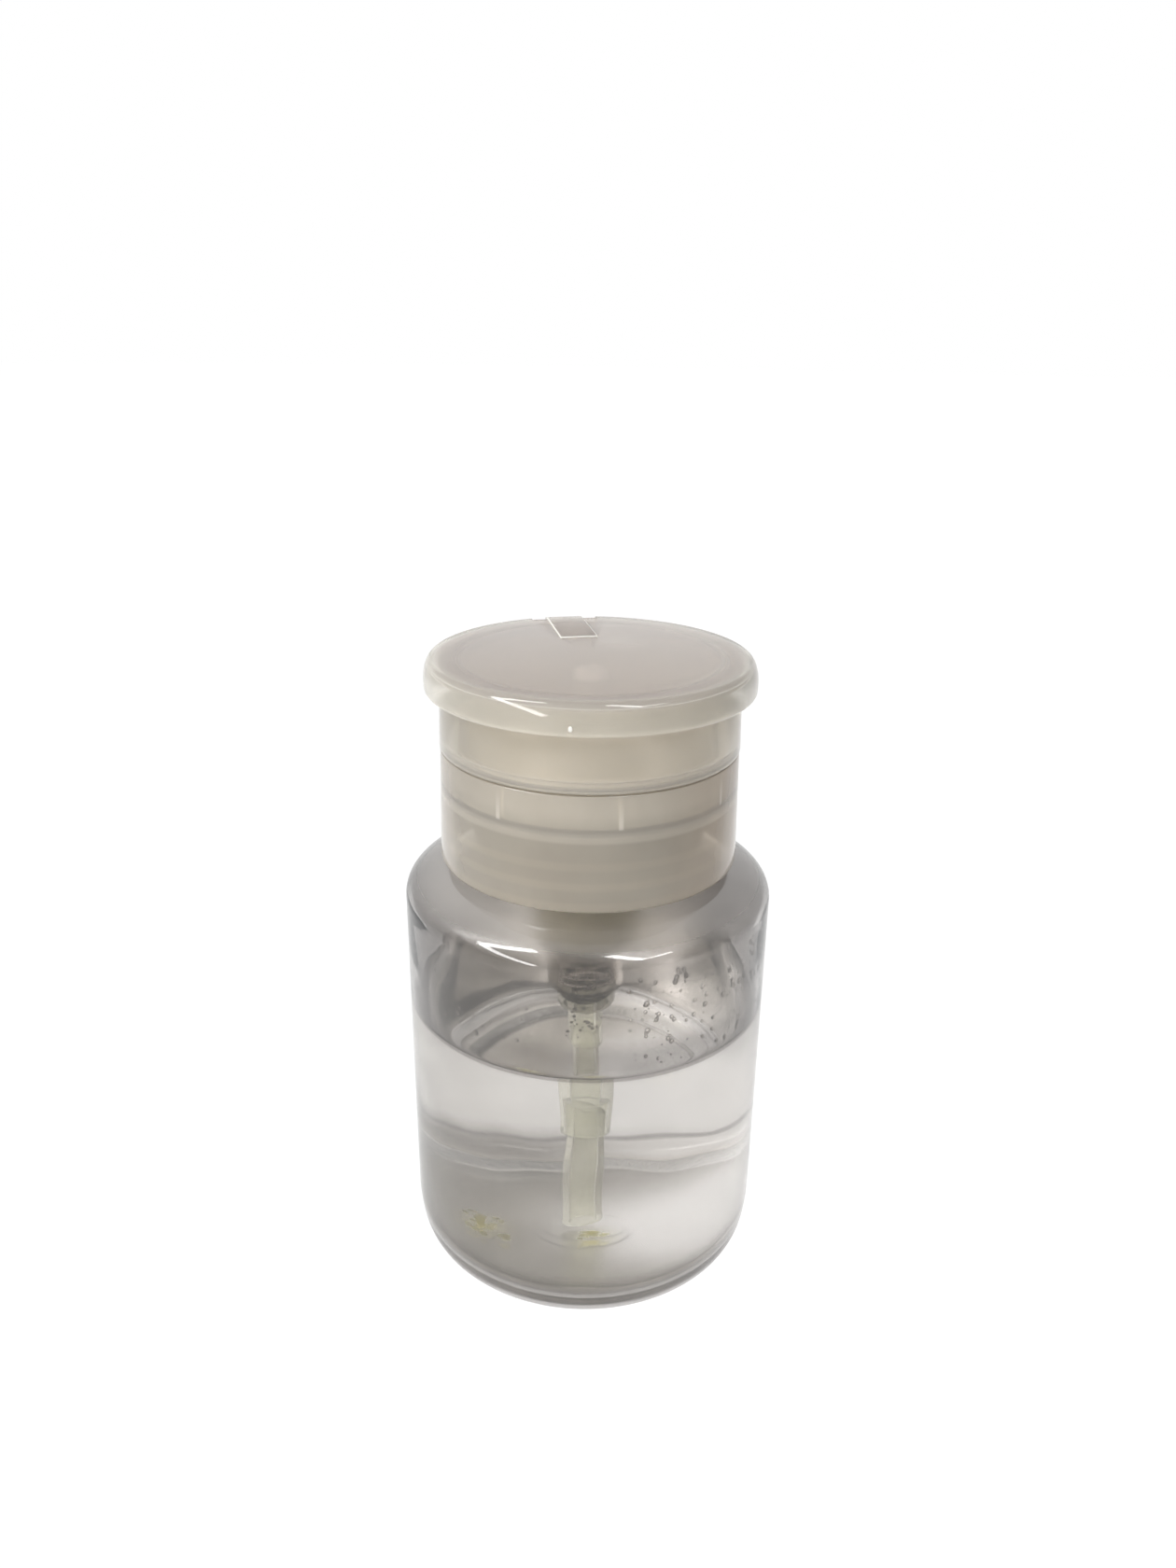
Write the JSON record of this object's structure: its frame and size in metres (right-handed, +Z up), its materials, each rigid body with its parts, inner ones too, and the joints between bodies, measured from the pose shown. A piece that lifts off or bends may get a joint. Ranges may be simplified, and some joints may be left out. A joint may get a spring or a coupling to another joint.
{
  "type": "push-down dispenser bottle",
  "caption": "Round clear bottle with a threaded closure, a press dish over a spring piston pump with dip tube, and a hinged flip lid; dispenses liquid onto a pad.",
  "frame": {"origin": "centre of the standing ring, on the surface that the bottle stands on", "axes": "+Z up along the bottle's axis, -Y towards the front, the lid's hinge at the back a little to the left of +Y"},
  "size_m": [0.06, 0.06, 0.1033],
  "materials": {
    "clear_pet": "clear blown bottle wall, glossy",
    "clear_liquid": "clear liquid",
    "milky_pp": "natural milky polypropylene, satin gloss",
    "pump_pp": "natural see-through polypropylene",
    "pale_pp": "pale moulded plastic",
    "seal_pe": "soft polyethylene",
    "gasket_foam": "foamed polyethylene",
    "spring_steel": "bright stainless steel"
  },
  "bodies": {
    "bottle_body": {"bottle": "clear_pet", "liquid_fill": "clear_liquid"},
    "pump_body": {"pump_housing": "pump_pp", "dip_tube": "pump_pp", "neck_gasket": "gasket_foam", "chaplet": "milky_pp", "return_spring": "spring_steel"},
    "closure_body": {"closure_skirt": "milky_pp", "upper_ring": "milky_pp", "hinge_pin": "milky_pp"},
    "lid_body": {"lid": "milky_pp"},
    "actuator_body": {"press_dish": "milky_pp", "outlet_nozzle": "pale_pp", "stem": "milky_pp", "piston_seal": "seal_pe", "piston_seat": "pump_pp"},
    "inlet_valve": {"inlet_ball": "spring_steel"},
    "outlet_valve": {"outlet_ball": "spring_steel"}
  },
  "joints": [
    {"name": "pump_rise", "type": "slide", "parent": "bottle_body", "child": "pump_body", "axis": [0, 0, 1], "range_m": [0, 0.0064]},
    {"name": "closure_unscrew", "type": "hinge", "parent": "pump_body", "child": "closure_body", "pos_m": [0, 0, 0.0825], "axis": [0, 0, 1], "range_deg": [0, 720]},
    {"name": "lid_flip", "type": "hinge", "parent": "closure_body", "child": "lid_body", "pos_m": [-0.0051, 0.02509, 0.0989], "axis": [-0.9799, -0.1994, 0], "range_deg": [0, 135]},
    {"name": "dish_press", "type": "slide", "parent": "pump_body", "child": "actuator_body", "axis": [0, 0, -1], "range_m": [0, 0.0055], "stiffness_N_per_m": 500, "springref_m": -0.008, "deforming": ["return_spring"]},
    {"name": "inlet_lift", "type": "slide", "parent": "pump_body", "child": "inlet_valve", "axis": [0, 0, 1], "range_m": [0, 0.0013]},
    {"name": "outlet_lift", "type": "slide", "parent": "actuator_body", "child": "outlet_valve", "axis": [0, 0, 1], "range_m": [0, 0.0012]}
  ],
  "couplings": [
    {"joint": "pump_rise", "follows": "closure_unscrew", "m_per_rad": 0.00050532}
  ]
}
